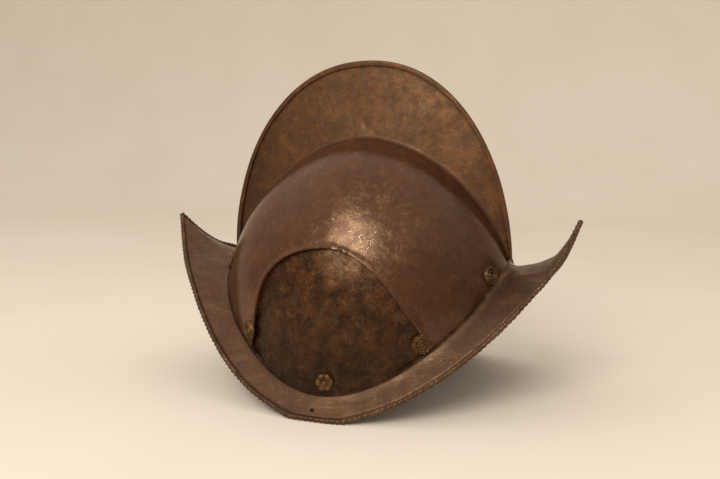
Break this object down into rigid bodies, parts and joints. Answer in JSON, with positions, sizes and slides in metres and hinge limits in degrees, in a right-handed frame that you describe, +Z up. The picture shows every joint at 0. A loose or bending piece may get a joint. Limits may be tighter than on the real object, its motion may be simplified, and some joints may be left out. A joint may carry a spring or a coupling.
{
  "type": "morion helmet",
  "caption": "Open steel helmet with a tall hollow comb, boat-shaped brim turned up at both ends, arched side windows and rosette rivets.",
  "frame": {"origin": "on the surface that the helmet stands on, under the middle of its bounding box", "axes": "+X along the comb towards the front peak, +Y to the wearer's left, +Z up"},
  "size_m": [0.359, 0.2372, 0.2662],
  "materials": {
    "crown": "rust-brown patina over worn steel",
    "brim": "grey-brown patina, bright worn edge",
    "rosette": "tarnished"
  },
  "bodies": {
    "root": {"crown_half_right": "crown", "crown_half_left": "crown", "brim_half_right": "brim", "brim_half_left": "brim", "rosette_back_right": "rosette", "rosette_back_left": "rosette", "rosette_back_arch_right": "rosette", "rosette_back_arch_left": "rosette", "rosette_middle_right": "rosette", "rosette_middle_left": "rosette", "rosette_front_arch_right": "rosette", "rosette_front_arch_left": "rosette", "rosette_front_right": "rosette", "rosette_front_left": "rosette"}
  },
  "joints": []
}
